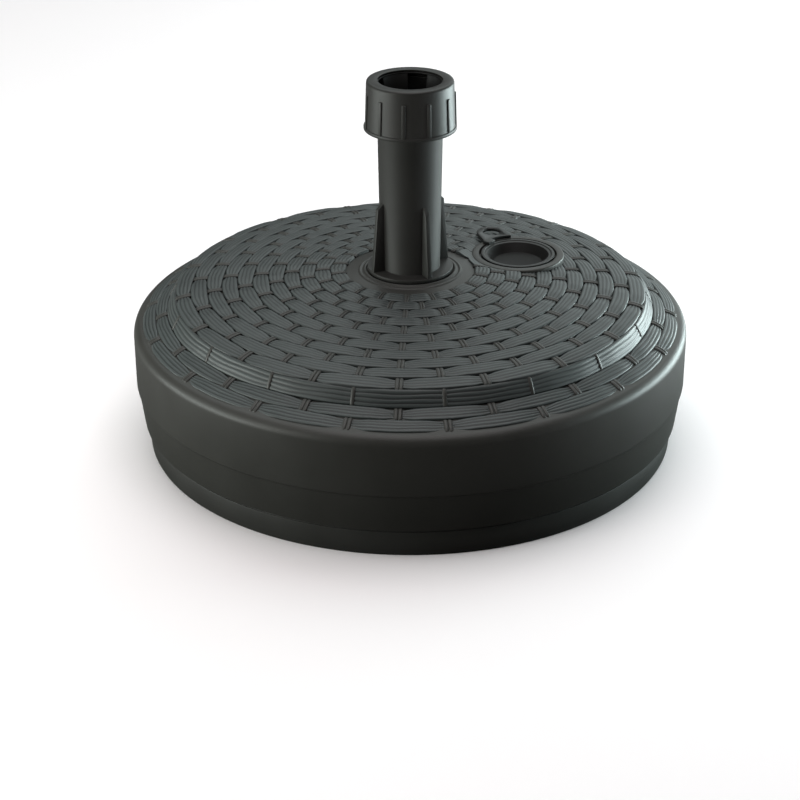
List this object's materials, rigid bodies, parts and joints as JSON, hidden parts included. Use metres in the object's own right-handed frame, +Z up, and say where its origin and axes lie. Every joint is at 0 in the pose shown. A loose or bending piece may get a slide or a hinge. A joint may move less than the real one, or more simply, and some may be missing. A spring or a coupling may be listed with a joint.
{
  "type": "parasol base",
  "caption": "Round fillable parasol base with a woven-look cover, a screw-in stand tube, a split collet and clamp nut for the pole, and a pull-tab filler plug.",
  "frame": {"origin": "on the floor, on the pole's axis", "axes": "+Z up the pole; the filler plug lies towards +X, +Y; azimuth 0 is seen from -Y"},
  "size_m": [0.4999, 0.5, 0.3333],
  "materials": {
    "cover_plastic": "satin anthracite, moulded woven relief",
    "tub_plastic": "satin anthracite",
    "stand_plastic": "fine-grained anthracite",
    "nut_plastic": "fine-grained anthracite",
    "collet_plastic": "smooth black",
    "plug_plastic": "soft satin, slightly brown",
    "seal_rubber": "matt black"
  },
  "bodies": {
    "base": {"cover_shell": "cover_plastic", "tub_shell": "tub_plastic", "rim_seal": "seal_rubber", "well_seal": "seal_rubber"},
    "flange_seal": {"tube_seal": "seal_rubber"},
    "stand": {"stand_tube": "stand_plastic"},
    "collet": {"clamp_collet": "collet_plastic"},
    "nut": {"clamp_nut": "nut_plastic"},
    "plug": {"filler_plug": "plug_plastic"}
  },
  "joints": [
    {"name": "stand_lift", "type": "slide", "parent": "base", "child": "flange_seal", "axis": [0, 0, 1], "range_m": [0, 0.0301]},
    {"name": "stand_turn", "type": "hinge", "parent": "flange_seal", "child": "stand", "pos_m": [0, 0, 0.158], "axis": [0, 0, 1], "range_deg": [0, 1800]},
    {"name": "collet_slide", "type": "slide", "parent": "stand", "child": "collet", "axis": [0, 0, 1], "range_m": [-0.0017, 0.0101]},
    {"name": "nut_turn", "type": "hinge", "parent": "collet", "child": "nut", "pos_m": [0, 0, 0.31], "axis": [0, 0, 1], "range_deg": [-120, 720]},
    {"name": "plug_pull", "type": "slide", "parent": "base", "child": "plug", "axis": [0, 0, 1], "range_m": [0, 0.06]}
  ],
  "couplings": [
    {"joint": "stand_lift", "follows": "stand_turn", "m_per_rad": 0.00095493},
    {"joint": "collet_slide", "follows": "nut_turn", "m_per_rad": 0.00079577}
  ]
}
